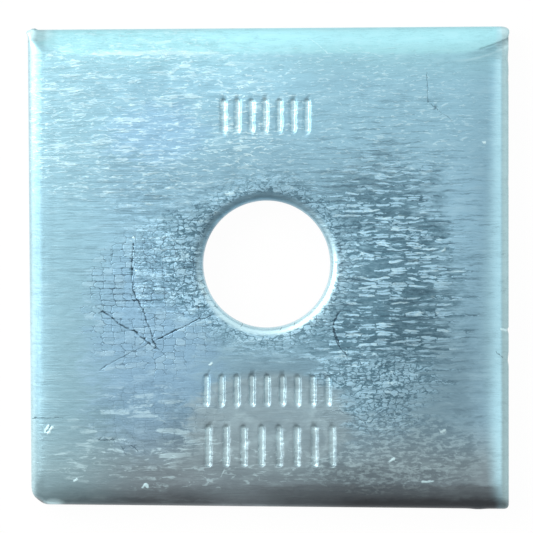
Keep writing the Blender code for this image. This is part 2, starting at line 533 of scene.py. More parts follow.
CHIPS = [
    [(-30.7, -33.7), (-30.3, -33.5)],
    [(-21.6, 4.3), (-21.3, 4.7)],
    [(-6.6, 11.6), (-5.4, 11.8)],
    [(20.7, 8.1), (21.6, 8.3)],
    [(22.2, 1.1), (23.4, 1.15)],
    [(25.9, -4.6), (26.2, -4.6)],
    [(27.5, 2.7), (27.8, 2.8)],
    [(-9.2, -15.3), (-9.0, -15.1)],
    [(34.0, 19.8), (34.2, 19.8)],
    [(-19.9, -34.7), (-19.4, -34.3), (-19.0, -34.7)],
    [(24.4, -33.9), (26.0, -33.7)],
    [(19.2, -30.6), (19.8, -30.3)],
    [(27.3, -26.0), (27.9, -25.7)],
    [(-35.3, -25.9), (-34.7, -24.9)],
    [(-34.8, -26.1), (-34.1, -25.2)],
    [(37.0, -9.8), (38.0, -9.9)],
]
SCRATCHES = [
    [(6.5, 36.3), (8.0, 35.2), (9.4, 33.8)],
    [(-6.9, -31.9), (-7.5, -33.1)],
    [(19.5, -30.2), (20.2, -30.7)],
]


paths_by_mark = {
    "Tick": ticks,
    "Crack": CRACKS,
    "Hairline": HAIRLINES,
    "Crease": CREASES,
    "Chip": CHIPS,
    "Scratch": SCRATCHES,
}
print("paths:", {label: len(paths) for label, paths in paths_by_mark.items()})

# %% [markdown]
# ## Finer where it matters
# A mark needs a few faces across it. Making the whole skin that fine would take millions of faces,
# so only the faces near a path are cut into four, and those nearest are cut again. Each kind of mark
# has one margin, in millimetres, for each cut.

# %% Refine near the paths
FACE_SHARE = 0.6
MARGINS = {
    "Tick": (0.9, 0.7),
    "Crack": (0.6, 0.4, 0.25),
    "Hairline": (0.45, 0.25, 0.14),
    "Crease": (0.5, 0.3),
    "Chip": (0.6, 0.4, 0.22),
    "Scratch": (0.45, 0.25, 0.14),
}


def distance_to(paths, places):
    """The distance in plan from each place to the nearest path, in millimetres."""
    nearest = np.full(len(places), 1e9)
    for path in paths:
        for start, end in zip(np.array(path[:-1]), np.array(path[1:])):
            along = end - start
            share = np.clip((places - start) @ along / (along @ along), 0, 1)
            away = np.linalg.norm(places - start - share[:, None] * along, axis=1)
            nearest = np.minimum(nearest, away)
    return nearest


def refine(mesh, paths, margin):
    """Cuts the quads of the face that lie within a margin of the paths into four."""
    bm = bmesh.new()
    bm.from_mesh(mesh)
    faces = [face for face in bm.faces if face.calc_center_median().z > face_height * FACE_SHARE]
    centres = np.array([face.calc_center_median().xy for face in faces]) / MM
    near = distance_to(paths, centres) < margin
    cut = dict.fromkeys(edge for face, close in zip(faces, near) if close for edge in face.edges)
    bmesh.ops.subdivide_edges(bm, edges=list(cut), cuts=1, use_grid_fill=True)
    bm.to_mesh(mesh)
    bm.free()


for label, margins in MARGINS.items():
    for margin in margins:
        refine(skin.data, paths_by_mark[label], margin)
print("refined:", sum(len(face.vertices) - 2 for face in skin.data.polygons), "triangles")

# %% [markdown]
# ## Knocks
# The back left corner has a raised burr, the back right one is drawn to a point, and the right edge
# has been nicked where the shear stepped. Each knock is a push on the skin: its middle, how far it
# reaches along each axis, and its move, all in millimetres. A point in the middle moves the whole
# way, and a point at the end of the reach stays.

# %% Push the knocks in
KNOCKS = [
    ((-37.9, 37.4, 4.6), (1.6, 0.9, 1.8), (-0.5, 0.1, 0.25)),
    ((-37.2, 37.9, 4.2), (0.8, 1.1, 1.6), (0.05, 0.35, 0.2)),
    ((37.7, 37.6, 4.6), (1.3, 1.1, 2.4), (0.32, 0.12, 0.0)),
    ((38.2, 33.2, 4.6), (0.8, 1.3, 1.6), (-0.2, 0.0, -0.15)),
    ((38.2, 29.9, 4.8), (0.9, 0.8, 1.4), (-0.22, 0.0, -0.2)),
    ((38.2, 13.5, 4.8), (0.8, 0.9, 1.4), (-0.15, 0.0, -0.15)),
    ((38.2, -9.9, 4.6), (0.9, 0.45, 2.2), (-0.25, 0.0, -0.1)),
    ((38.3, -14.6, 4.6), (1.0, 1.0, 2.4), (-0.16, 0.0, -0.1)),
    ((33.3, -38.3, 4.2), (1.8, 0.9, 2.0), (0.0, -0.12, 0.0)),
    ((-36.4, -37.0, 4.4), (1.4, 1.2, 1.8), (0.15, 0.1, -0.2)),
]


def push_in(mesh, middle, reach, move):
    """Moves the points within a knock's reach, and tells how many moved."""
    places = np.array([vertex.co for vertex in mesh.vertices]) / MM
    away = np.linalg.norm((places - middle) / reach, axis=1)
    share = np.clip(1 - away**2, 0, 1) ** 2
    places += share[:, None] * move
    mesh.vertices.foreach_set("co", (places * MM).astype(np.float32).ravel())
    return int((share > 0).sum())


moved = [push_in(skin.data, *knock) for knock in KNOCKS]
print("points moved by each knock:", moved)

# %% [markdown]
# ## Pressing the marks
# Geometry Nodes can measure how far each point of the skin lies from a set of edges, which is all
# that a mark needs. Points near a tick sink with soft walls, points near a crack sink less, and a
# chip stands up a little. Shaking the places with noise first makes the marks ragged. Each mask is
# stored on the mesh, so that the plating can follow it. A slow noise adds the ripple that rolling
# leaves. For each kind of mark the shake and the wobble are in millimetres, and the floor and the
# top of its wall are shares of its width.

# %% The relief tree
MARKS = {
    "Tick": {"shake": 0.1, "wobble": 0.3, "floor": 0.28, "wall": 0.62},
    "Crack": {"shake": 0.6, "wobble": 0.3, "floor": 0.0, "wall": 0.5},
    "Hairline": {"shake": 0.6, "wobble": 0.1, "floor": 0.0, "wall": 0.5},
    "Crease": {"shake": 0.1, "wobble": 0.05, "floor": 0.0, "wall": 0.6},
    "Chip": {"shake": 0.6, "wobble": 0.5, "floor": 0.2, "wall": 0.55},
    "Scratch": {"shake": 0.3, "wobble": 0.3, "floor": 0.0, "wall": 0.5},
}


def near_edges(plan, guide_object):
    """How far a place in plan is from a guide's edges, in metres."""
    edges = plan.node("GeometryNodeObjectInfo", {}, {"Object": guide_object}, "Geometry")
    inputs = {0: edges, "Sample Position": plan}
    return plan.node("GeometryNodeProximity", {"target_element": "EDGES"}, inputs, "Distance")


def relief_tree():
    """The tree that presses each kind of mark into the face and adds a slow ripple."""
    kinds = {"Plating": "Material", "Ripple": "Float", "Face Height": "Float"}
    for label in MARKS:
        kinds[label + " Paths"] = "Object"
        kinds[label + " Width"] = kinds[label + " Depth"] = "Float"
    tree, given, identifiers = new_tree("relief", kinds)
    place = add_node(tree, "GeometryNodeInputPosition")
    x, y, z = components(place)
    on_face = place.math("GREATER_THAN", z, given["Face Height"] * FACE_SHARE)
    in_mm = place.vector("SCALE", 1 / MM)
    wander = noise(in_mm, (1.6, 1.6, 1.6), 3.0) - 0.5
    other_wander = noise(in_mm, (1.1, 1.4, 1.0), 3.0) - 0.5
    lift = (noise(in_mm, (0.09, 0.16, 0.1)) - 0.5) * given["Ripple"] * on_face
    masks = {}
    for label, style in MARKS.items():
        shake = style["shake"] * MM
        shaken = {"X": x + wander * shake, "Y": y + other_wander * shake}
        plan = place.node("ShaderNodeCombineXYZ", {}, shaken)
        distance = near_edges(plan, given[label + " Paths"]) + other_wander * (style["wobble"] * MM)
        width = given[label + " Width"]
        beyond = rise(distance, width * style["floor"], width * style["wall"])
        masks[label] = (1 - beyond) * on_face
        lift -= masks[label] * given[label + " Depth"]
    offset = place.node("ShaderNodeCombineXYZ", {}, {"Z": lift})
    moved = {"Geometry": given["Geometry"], "Offset": offset}
    geometry = place.node("GeometryNodeSetPosition", {}, moved)
    for label, mask in masks.items():
        links = {"Geometry": geometry, "Name": label.lower(), "Value": mask}
        geometry = place.node("GeometryNodeStoreNamedAttribute", {"data_type": "FLOAT"}, links)
    end_tree(geometry, given["Plating"])
    return tree, identifiers


relief, relief_inputs = relief_tree()
print("relief tree:", len(relief.nodes), "nodes")

# %% [markdown]
# ## Reading places on the plating
# The plating isn't the same all over. Rolling left streaks along the bar, the upper left has white
# flecks, the right has flaked into small bricks, and the front is darker and greyer, which is partly
# painted shade. Each of these is a pattern times a zone. A zone is a soft oval whose border wanders,
# and every place is read in millimetres from the object's own coordinates, so that nothing slides
# when the washer moves.

# %% Zones, blends and blocks
COLOUR_A = 6
COLOUR_B = 7
MIXED_COLOUR = 2


def zone(x, y, centre, radii, core=0.4):
    """1 in the core of an oval, falling to 0 at its border."""
    across = (x - centre[0]) * (1 / radii[0])
    along = (y - centre[1]) * (1 / radii[1])
    return 1 - rise(across * across + along * along, core, 1.0)


def blend(factor, first, second):
    """A colour between two colours."""
    first, second = (c if isinstance(c, Wire) else (*c, 1.0) for c in (first, second))
    inputs = {0: factor, COLOUR_A: first, COLOUR_B: second}
    return factor.node("ShaderNodeMix", {"data_type": "RGBA"}, inputs, MIXED_COLOUR)


def clipped(value):
    """A value held between 0 and 1."""
    return value.node("ShaderNodeClamp", {}, {"Value": value})


def blocks(place, waves, disorder):
    """Cells like rough bricks: how far a place is from a joint, and the tone of its brick."""
    settings = {"voronoi_dimensions": "2D", "distance": "CHEBYCHEV"}
    inputs = {"Vector": place.vector("MULTIPLY", waves), "Scale": 1.0, "Randomness": disorder}
    own = place.node("ShaderNodeTexVoronoi", {**settings, "feature": "F1"}, inputs)
    other = place.node("ShaderNodeTexVoronoi", {**settings, "feature": "F2"}, inputs)
    tone = components(Wire(own.socket.node.outputs["Color"]))[0]
    return other - own, tone


print("zones ready")

# %% [markdown]
# ## Where the plating is read
# The material starts with the place, in millimetres, and with the masks of the marks, which come
# from the mesh. The turn of the surface tells the face from the walls.

# %% Start the material
zinc = bpy.data.materials.new("zinc_plating")
zinc.use_nodes = True
zinc_tree = zinc.node_tree
coordinates = add_node(zinc_tree, "ShaderNodeTexCoord", output="Object")
place = coordinates.vector("SCALE", 1 / MM)
x, y, z = components(place)
tick, crack, hairline, crease, chip, scratch = (
    add_node(zinc_tree, "ShaderNodeAttribute", {"attribute_name": label.lower()}, output="Fac")
    for label in MARKS
)
upness = components(add_node(zinc_tree, "ShaderNodeTexCoord", output="Normal"))[2]
top = rise(upness, 0.2, 0.6)
wall = 1 - rise(abs(upness), 0.25, 0.6)


def tell(step):
    """Says how many nodes the plating has after a step."""
    print(step + ":", len(zinc_tree.nodes), "nodes")


tell("plating started")

# %% [markdown]
# ## The plating's patterns
# A few noises do most of the work. Long ones run along the bar, as rolling leaves them. Others are
# blotches and chips. A slow and a quick noise push the places about before they are read, so that
# nothing looks ruled.

# %% Patterns
slow = noise(place, (0.35, 0.5, 0.4), 3.0) - 0.5
quick = noise(place, (1.4, 2.8, 1.0), 2.0) - 0.5


def pushed(slow_share, quick_share):
    """The place, pushed about by the slow and the quick noise."""
    sideways = slow * (1.5 * slow_share) + quick * (0.5 * quick_share)
    upwards = slow * (0.9 * slow_share) + quick * (0.2 * quick_share)
    push = place.node("ShaderNodeCombineXYZ", {}, {"X": sideways, "Y": upwards})
    return place.vector("ADD", push)


warped = pushed(1.0, 1.0)
streaks = noise(place, (0.10, 2.4, 1.0), 4.0, 0.6)
grain = noise(warped, (0.5, 6.0, 2.0), 3.0, 0.6)
mottle = noise(warped, (0.32, 0.85, 0.6), 5.0, 0.62, 0.4)
chips = noise(warped, (0.9, 2.2, 1.0), 6.0, 0.68, 0.3)
cloud = noise(place, (0.045, 0.06, 0.05), 2.0)
ragged = (mottle - 0.5) * 16.0
xr, yr = x + ragged, y + ragged * 0.6
tell("patterns")

# %% [markdown]
# ## Flecks
# On the upper left, rolled-in flecks of pale zinc lie along the bar. They are noise drawn out along
# it and cut off sharply, in zones that fade into the rest.

# %% Flecks
flecked = zone(xr, yr, (-20.0, 24.0), (27.0, 17.0))
speckled = zone(xr, yr, (12.0, 23.0), (28.0, 15.0), 0.3)
strokes = rise(noise(warped, (0.38, 2.0, 1.0), 3.0, 0.55, 0.8), 0.52, 0.66)
specks = rise(noise(warped, (1.0, 3.8, 1.0), 2.0, 0.5, 0.4), 0.59, 0.64)
flecks = clipped(strokes * flecked * 0.65 + specks * (flecked * 0.55 + speckled * 0.45)) * top
tell("with flecks")

# %% [markdown]
# ## Where the plating has flaked
# On the right the plating has come away in bars a few tenths of a millimetre high, and lower down in
# grains, so that dark steel shows between them. Round the hole the punch has done the same, so this
# cell also measures how far a place is from the hole's axis.

# %% Flaked places
hole_x, hole_y, _ = components(place.vector("SUBTRACT", (*hole / MM, 0.0)))
in_plan = place.node("ShaderNodeCombineXYZ", {}, {"X": hole_x, "Y": hole_y})
from_hole = in_plan.node("ShaderNodeVectorMath", {"operation": "LENGTH"}, {0: in_plan}, "Value")
collar = (1 - rise(from_hole + ragged * 0.3, 11.0, 17.0)) * rise(from_hole, 10.9, 11.5) * top

drawn_out = xr + (streaks - 0.5) * 16.0
flaked = zone(drawn_out, yr, (17.5, -4.5), (14.5, 26.0), 0.25) * top
by_hole = zone(xr, yr, (-14.5, 0.5), (8.0, 9.5))
by_hole = clipped(by_hole + zone(xr, yr, (-18.0, 9.0), (9.0, 6.0), 0.1) * 0.45) * top
grained = zone(xr, yr, (16.0, -24.0), (19.0, 12.0), 0.5)
grained = clipped(grained + collar + by_hole * 0.6)
striped = zone(drawn_out, yr, (17.0, 3.0), (21.0, 30.0), 0.2) * top
flaked = clipped(flaked + collar * 0.9 + by_hole * 0.8)
gritty = zone(drawn_out, yr, (19.0, -29.0), (18.0, 8.5), 0.3) * top
tell("with flaked places")

# %% [markdown]
# ## The flakes themselves
# Cells with square corners make the bars, and noise breaks them up. The grains are noise that leans
# on finer cells. Between the flakes lie fine stripes, dust and grit.

# %% Flakes
bar_gap, bar_tone = blocks(pushed(0.7, 0.6), (0.42, 2.6, 1.0), 0.85)
bars = rise(bar_tone + (chips - 0.5) * 1.7 + rise(bar_gap, 0.04, 0.25) * 0.35, 0.82, 0.96)
cell_gap, cell_tone = blocks(warped, (0.9, 1.4, 1.0), 0.9)
clumped = rise(cell_gap, 0.03, 0.25) * 0.16 + (cell_tone - 0.5) * 0.15
grains = rise(noise(warped, (1.3, 2.4, 1.0), 4.0, 0.7) + clumped, 0.55, 0.65)
flakes = bars + (grains - bars) * grained
dust = noise(place, (3.2, 5.0, 2.0), 2.0)
stripes = rise(noise(warped, (0.2, 3.6, 1.0), 4.0, 0.65), 0.51, 0.6)
grit = rise(noise(warped, (0.9, 2.0, 1.0), 4.0, 0.65), 0.46, 0.6)
tell("with flakes")

# %% [markdown]
# ## Crackle
# Where the plate has bent, on the left, the plating has broken into small blocks with fine dark
# joints, each block a little lighter or darker than the next. In front of them it has broken into
# long low slabs.

# %% Crackle and slabs
crackled = zone(xr, yr, (-18.0, -5.5), (12.5, 14.0), 0.5)
crackled = clipped(crackled + zone(xr, yr, (-17.0, -24.0), (12.0, 7.0)) * 0.4) * top
block_gap, block_tone = blocks(pushed(0.7, 0.25), (0.62, 1.0, 1.0), 0.6)
broken = rise(noise(place, (0.4, 0.4, 0.4), 2.0), 0.34, 0.5)
joints = (1 - rise(block_gap, 0.02, 0.12)) * crackled * broken
slabbed = zone(xr, yr, (-20.5, -25.5), (12.0, 8.5), 0.3) * top
slab_gap, slab_tone = blocks(pushed(0.9, 0.6), (0.22, 1.3, 1.0), 0.9)
slabs = rise(slab_gap, 0.03, 0.2) * rise(slab_tone + (chips - 0.5) * 1.8, 0.55, 0.85)
tell("with crackle")

# %% [markdown]
# ## The lip of the hole
# The punch drew the lip down. Its shine on the light's side is a painted highlight, with a wider
# painted highlight towards the right front, and on the other side it has painted shade. A dark ring
# on the right is painted as the shade of a groove. A direction is enough to tell the sides: the part
# of the offset from the hole's axis that points along it.

# %% The lip
LIP_REACH = 10.5
lit_side = hole_x * (0.34 / LIP_REACH) - hole_y * (0.94 / LIP_REACH)
highlight_side = hole_x * (0.82 / LIP_REACH) - hole_y * (0.57 / LIP_REACH)
near_face = rise(z, 3.9, 4.8)
lip = (1 - rise(from_hole + quick * 0.8, 10.8, 11.7)) * near_face
# Painted highlights on the lip's lit side and to the right front, painted shade on the other side, and
# a dark ring painted as a groove's shade.
lip_painted_highlight = lip * rise(lit_side, -1.1, 0.35)
lip_side_highlight = (1 - rise(from_hole + quick * 1.5, 11.2, 13.4)) * rise(highlight_side, 0.6, 1.0) * near_face
lip_painted_shade = rise(from_hole, 10.3, 10.9) * (1 - rise(from_hole + quick * 1.5, 11.3, 12.5))
lip_painted_shade *= rise(0 - lit_side, 0.3, 0.9)
lip_groove_shade = (1 - rise(abs(from_hole - 11.8), 0.1, 0.4)) * rise(hole_x, 9.6, 11.4)
tell("with the lip")

# %% [markdown]
# ## The left and back edges
# Light falls on the edges otherwise than on the face, and here that is painted. On the left lies a
# painted highlight strip, with painted shade beside it, as of a faint hollow. At the back a band with
# a painted highlight tint ends in a line that curves away at the right corner, with painted shade
# under it and a fainter painted highlight line further in. The burr at the left corner has a painted
# highlight, with dark specks about it.

# %% The left and back edges
BACK_LINE = 33.9
LEFT_BEND = -31.0
RIGHT_BEND = 28.8

# A painted highlight strip on the left, and painted shade beside it.
left_highlight_strip = 1 - rise(x + (streaks - 0.5) * 1.2 + ragged * 0.03, -38.0, -36.3)
low_down = 1 - rise(y, -16.0, 4.0)
left_painted_shade = rise(x, -37.5, -36.5) * (1 - rise(x, -35.9, -34.9)) * (0.26 - low_down * 0.13)
further_in = rise(x, -36.0, -35.0) * (1 - rise(x, -34.4, -33.0))
left_painted_shade += further_in * (1 - low_down) * 0.1
left_field = (1 - rise(x + ragged * 0.4, -34.0, -19.0)) * top

past_right = x.math("MAXIMUM", x - RIGHT_BEND, 0.0)
past_left = x.math("MAXIMUM", LEFT_BEND - x, 0.0)
back_gap = y - BACK_LINE - past_right * past_right * 0.0294 - past_left * 0.28
# The back band takes a painted highlight tint; under its line lies painted shade, then a painted
# highlight line, and the corners get painted highlights.
back_band = rise(back_gap + ragged * (1 - rise(x, 24.0, 29.0)) * 0.04, -0.4, 0.35)
back_shade = rise(back_gap, -1.3, -0.05) * (1 - rise(back_gap, 0.0, 0.25)) * rise(x, 28.5, 38.5)
back_highlight_line = (1 - rise(abs(back_gap + 1.3), 0.05, 0.3)) * rise(x, 28.5, 33.0)
corner_highlights = zone(x, y, (38.0, 37.5), (2.0, 0.9), 0.1)
corner_highlights += zone(x, y + quick, (37.4, 35.4), (1.9, 1.5), 0.1) * 0.6
corner_highlights += zone(x + quick, y, (-36.6, 37.0), (3.2, 1.6), 0.1)
burr_shade = zone(x, y + quick, (-37.0, 38.0), (1.2, 0.4), 0.1)
burr_shade += zone(x + quick, y, (-37.3, 36.0), (1.0, 0.6), 0.1)
tell("with two edges")

# %% [markdown]
# ## The right and front edges
# On the right the face rolls over; the roll has a painted highlight tint, a painted highlight strip
# and lower down a painted highlight, and then comes a dull rim. In front lie two steps of painted
# shade, where the face turns down away from the light: the face's last millimetres, and a darker line
# at the very edge.

# %% The right and front edges
# The right roll's bright strip and its lower part are painted highlights.
right_roll = rise(x, 32.2 + abs(y + 8.0) * 0.08, 36.6)
strip_length = (1 - rise(y + quick, 32.6, 33.4)) * rise(y + quick, -36.0, -32.6)
right_highlight_strip = rise(x + slow * 0.5, 34.3, 36.5) * (1 - rise(x, 36.6, 37.0)) * strip_length
right_rim = rise(x + quick * 0.2, 36.8, 37.2)
low_roll_highlight = rise(x, 31.0, 34.0) * (1 - rise(y, -26.0, -12.0)) * (1 - right_rim) * strip_length

# The two dark front steps are painted shade.
front_gap = y + (mottle - 0.5) * 1.8
front_step = (1 - rise(front_gap, -34.8, -34.0)) * rise(x, -6.0, 4.0)
front_step *= (rise(x, 6.0, 24.0) * 0.08 + 0.48) * (1 - rise(x, 35.3, 37.3) * 0.85)
front_edge = (1 - rise(y + (mottle - 0.5) * 1.6, -37.4, -35.9)) * rise(x, -34.0, -31.5)
front_edge *= 1 - zone(x, y, (1.0, -37.0), (14.0, 3.0), 0.0) * 0.9
front_shade = clipped(front_step + front_edge * 0.5)
worn_corner = zone(x + quick, y, (-34.0, -37.2), (1.9, 0.8), 0.1)
tell("with all edges")

# %% [markdown]
# ## Scuffs
# The stamped place in front was flattened by the stamp, and it is greyer and smudged. Around it lie
# wisps, a painted highlight along a ridge at the back, and fine dark rubs on the left.

# %% Scuffs
pressed = zone(xr * 0.5 + x * 0.5, y, (0.2, -24.3), (14.5, 8.6), 0.6) * top
smudge = noise(warped, (0.28, 0.35, 0.3), 4.0, 0.6, 0.6)
plain = (1 - pressed * 0.75) * (1 - lip_painted_highlight * 0.8)
# A painted highlight along the ridge at the back.
ridge_highlight = 1 - rise(abs(y - BACK_LINE + (mottle - 0.5) * 1.6), 0.15, 0.55)
ridge_highlight *= zone(x, y, (-19.0, BACK_LINE), (10.0, 3.0))
wisps = rise(noise(warped, (0.35, 1.5, 1.0), 4.0, 0.6, 1.0), 0.55, 0.64)
wisps *= zone(xr, y, (-12.0, -31.0), (28.0, 5.0))
rubs = rise(noise(place, (0.14, 5.0, 1.0), 3.0, 0.6), 0.5, 0.6)
rubs *= zone(xr, yr, (-22.0, 5.0), (16.0, 17.0), 0.2)
tell("all masks")

# %% [markdown]
# ## The walls
# A cropped edge has two bands: a smooth one with marks dragged down it, where the blade cut, and a
# rough one below, where the rest broke away. The wall of a punched hole is the same. Noise that is
# long in height makes the drag marks on all of them.

# %% The walls
drag = noise(place, (2.6, 2.6, 0.12), 3.0)
cut_wall = wall * clipped(rise(abs(x), 36.4, 37.2) + (1 - rise(from_hole, 11.5, 13.0)))
torn = cut_wall * (1 - rise(z + (noise(place, (0.5, 0.5, 0.5), 3.0) - 0.5) * 2.4, 2.2, 2.7))
pits = noise(place, (1.6, 1.6, 1.1), 4.0, 0.65)
tell("with walls")

# %% [markdown]
# ## Lighter and darker places
# Broad soft patches make places a little lighter or darker than the rest; some stand for light and
# shade, such as the large dark one on the lower right, which is painted shade. Each one is a zone with
# a middle, two radii and a share: how much of the colour it adds or takes. The sum is a gain on the
# colour. The painted highlight strips, the rim, the painted highlight on the low roll, the painted
# shade on the left and the back band have their shares of it too.

# %% Broad patches
PATCHES = [
    ((24.5, -16.0), (11.0, 16.0), -0.22),
    ((2.0, 15.5), (22.0, 5.0), -0.08),
    ((3.0, 11.5), (6.0, 3.5), -0.12),
    ((-11.0, 4.5), (5.0, 9.0), -0.14),
    ((-18.0, -2.5), (14.0, 12.5), 0.1),
    ((9.0, -12.5), (7.0, 5.0), 0.12),
    ((-14.8, -24.0), (1.5, 6.5), -0.16),
    ((-18.0, -27.6), (7.0, 0.9), -0.16),
    ((-24.0, 7.0), (11.0, 6.0), 0.07),
    ((-5.0, 30.0), (15.0, 5.0), 0.14),
    ((-18.0, 22.0), (12.0, 6.0), 0.06),
    ((16.0, 3.0), (5.0, 6.0), 0.15),
    ((16.0, -9.0), (5.0, 6.0), 0.12),
    ((-2.0, 36.5), (14.0, 3.0), 0.08),
    ((-3.0, -36.8), (9.0, 1.6), 0.25),
    ((2.0, -16.5), (10.0, 3.0), -0.14),
    ((31.0, 8.0), (4.0, 12.0), 0.1),
    ((-7.0, 6.0), (6.0, 6.0), -0.06),
    ((20.0, -16.0), (10.0, 4.0), 0.1),
    ((-35.0, -36.0), (3.5, 2.5), 0.12),
    ((13.0, -34.4), (8.0, 2.6), -0.14),
    ((-18.0, -29.0), (11.0, 4.0), 0.1),
    ((14.0, -33.0), (17.0, 2.6), -0.12),
    ((-11.0, -33.5), (5.0, 2.0), 0.12),
]
# The edges' shares are painted highlights and painted shade.
gain = 1 + right_highlight_strip * 0.3 - right_rim * (low_down * 0.1 + 0.05) + low_roll_highlight * 0.24 - left_painted_shade
gain += left_highlight_strip * low_down * 0.2 - back_band * (1 - rise(back_gap, 0.6, 2.4)) * 0.1
for centre, radii, share in PATCHES:
    gain += zone(xr * 0.6 + x * 0.4, yr * 0.6 + y * 0.4, centre, radii, 0.0) * share
tell("with patches")

# %% [markdown]
# ## What is lighter and what is darker
# The patterns are summed into two masks. The light one stands for paler zinc: flecks, chips, wear,
# and for painted highlights: the lip, the left strip, the back line and ridge, the corners, and the
# floors of the ticks as a painted reflection. The dark one stands for scale and dirt: joints, cracks,
# stripes, pits, and for painted shade: in the crease, at the lip and under the back line. Over the
# whole plate both also take a little of the broad noises, except where the plating was pressed flat.

# %% Light and dark
# Painted highlights join the paler zinc here.
light = flecks * 0.8 + tick * 0.4 + chip + scratch * 0.5 + lip_painted_highlight * 0.64 + lip_side_highlight * 0.3
light += ridge_highlight * 0.5 + wisps * 0.35 + corner_highlights * 0.4 + worn_corner * 0.5
light += gritty * grit * plain * 0.22 + slabs * slabbed * plain * 0.38
light += ((streaks - 0.5) * 0.3 + (mottle - 0.5) * 0.45) * plain + back_highlight_line * 0.2
light += (block_tone - 0.5) * crackled * 0.3 + (smudge - 0.5) * pressed * 0.9
light = clipped(light + left_highlight_strip * (low_down * 0.2 + 0.5))

# Painted shade joins the dirt here.
dark = joints * 0.55 + crack * 0.9 + hairline * 0.75 + crease * 0.12
dark += lip_painted_shade * 0.3 + lip_groove_shade * 0.25 + back_shade * 0.4 + burr_shade * 0.3
dark += rubs * 0.28 + gritty * (1 - grit) * plain * 0.2 + (0.5 - smudge) * pressed * 0.9
dark += ((0.5 - mottle) * 0.5 + (0.5 - grain) * 0.5 + (0.5 - dust) * 0.2) * plain
dark += stripes * striped * plain * 0.42 + (0.5 - dust) * (flaked + crackled) * 0.5
dark += (1 - stripes) * flecked * top * 0.08 + (1 - slabs) * slabbed * plain * 0.15
dark = clipped(dark + torn * pits * 0.5 + (drag - 0.5) * cut_wall * 0.5)
tell("light and dark")

# %% [markdown]
# ## The plating's own tint
# Zinc plating over steel is a metal with a cool blue cast. Its tint runs from a clear cyan at the
# back of the plate to a dull grey at the front, so a ramp gives it from front to back; the darker
# grey towards the front is partly painted shade. The edges, the bluer and greener fields and the
# stamped place are mixed over that; the back band and the right roll take painted highlight tints.

# %% Tint
HALF_SIDE = 38.2
EDGE_HIGHLIGHT_ZINC = (0.42, 0.68, 0.76)
RIM_ZINC = (0.44, 0.62, 0.64)
BAND_HIGHLIGHT_ZINC = (0.39, 0.74, 0.80)
GREEN_ZINC = (0.31, 0.53, 0.585)
BLUE_ZINC = (0.27, 0.46, 0.66)
DULL_GREY = (0.30, 0.39, 0.42)
ZINC_BY_DEPTH = [
    (0.0, (0.18, 0.21, 0.23)),
    (0.09, (0.22, 0.29, 0.32)),
    (0.2, (0.23, 0.37, 0.45)),
    (0.4, (0.25, 0.425, 0.525)),
    (0.65, (0.26, 0.45, 0.56)),
    (0.88, (0.29, 0.52, 0.63)),
    (1.0, (0.32, 0.60, 0.66)),
]

# The ramp darkens and greys the front, partly as painted shade.
depth = (y + (cloud - 0.5) * 8.0 + HALF_SIDE) * (0.5 / HALF_SIDE)
blueness = zone(xr, yr, (-18.0, 21.0), (10.0, 6.0), 0.1)
blueness = clipped(blueness + zone(xr, yr, (-18.5, -12.0), (13.0, 21.0), 0.1))
tint = depth.node("ShaderNodeValToRGB", {"stops": ZINC_BY_DEPTH}, {0: depth})
for share, over in (
    (left_field * 0.4, GREEN_ZINC),
    (blueness * 0.4, BLUE_ZINC),
    (pressed * (mottle * 0.4 + 0.45), DULL_GREY),
    (back_band * 0.7, BAND_HIGHLIGHT_ZINC),
    (right_roll * 0.65, EDGE_HIGHLIGHT_ZINC),
    (right_rim * 0.7, RIM_ZINC),
):
    tint = blend(share, tint, over)
tell("tint")

# %% [markdown]
# ## The layers of colour
# Over the tint come the light mask with its painted highlights, the flakes with bare steel between
# them, the gain of the patches, the painted shade of the front, and last the dark mask of dirt and
# painted shade, over everything.

# %% Colour
PALE_ZINC = (0.66, 0.90, 0.95)
FLAKE_ZINC = (0.42, 0.68, 0.83)
BARE_STEEL = (0.085, 0.18, 0.235)
DARK_SCALE = (0.03, 0.06, 0.085)
FRONT_SHADE_GREY = (0.075, 0.082, 0.09)

colour = blend(light, tint, PALE_ZINC)
brightest = rise(bar_tone, 0.7, 0.95) * rise(chips, 0.48, 0.58)
flake_zinc = blend(brightest * 0.6, FLAKE_ZINC, PALE_ZINC)
whole = flaked * flakes * plain * (bar_tone * 0.7 + 0.25)
colour = blend(clipped(whole), colour, flake_zinc)
bareness = clipped(rise(chips, 0.58, 0.42) * 0.3 + 0.62)
colour = blend(clipped(flaked * (1 - flakes) * plain * bareness), colour, BARE_STEEL)
colour = colour.vector("SCALE", gain)
# Painted shade over the front edge.
colour = blend(front_shade, colour, FRONT_SHADE_GREY)
colour = blend(dark, colour, DARK_SCALE)
tell("colour")

# %% [markdown]
# ## Roughness and bump
# The same patterns drive the roughness and a fine bump, because on the real plate they are all one
# thing: dark places are rough, and flecks and flakes stand up a few hundredths of a millimetre.

# %% Roughness, bump and the shader
METALLIC = 0.95

roughness = 0.44 + dark * 0.12 - light * 0.06 + (cloud - 0.5) * 0.12
height = grain * 0.015 + streaks * 0.025 + mottle * 0.04 + flecks * 0.02 + flaked * flakes * 0.03
height += torn * pits * 0.25 + drag * cut_wall * 0.05 - joints * 0.02
bump = height.node("ShaderNodeBump", {}, {"Height": height, "Distance": MM, "Strength": 1.0})

shader = zinc_tree.nodes["Principled BSDF"]
for wire, name in ((colour, "Base Color"), (roughness, "Roughness"), (bump, "Normal")):
    zinc_tree.links.new(wire.socket, shader.inputs[name])
shader.inputs["Metallic"].default_value = METALLIC
tell("plating")

# %% [markdown]
# ## Pressing the skin
# Now the relief runs on the skin. Each kind of mark gets its width and its depth in millimetres: a
# tick's stroke is 1 mm wide, a crack is a third of a millimetre, and a hairline half of that. A
# chip's depth is negative, because it stands up. The edges that the tree measures from are on
# guides, which go when it has run.

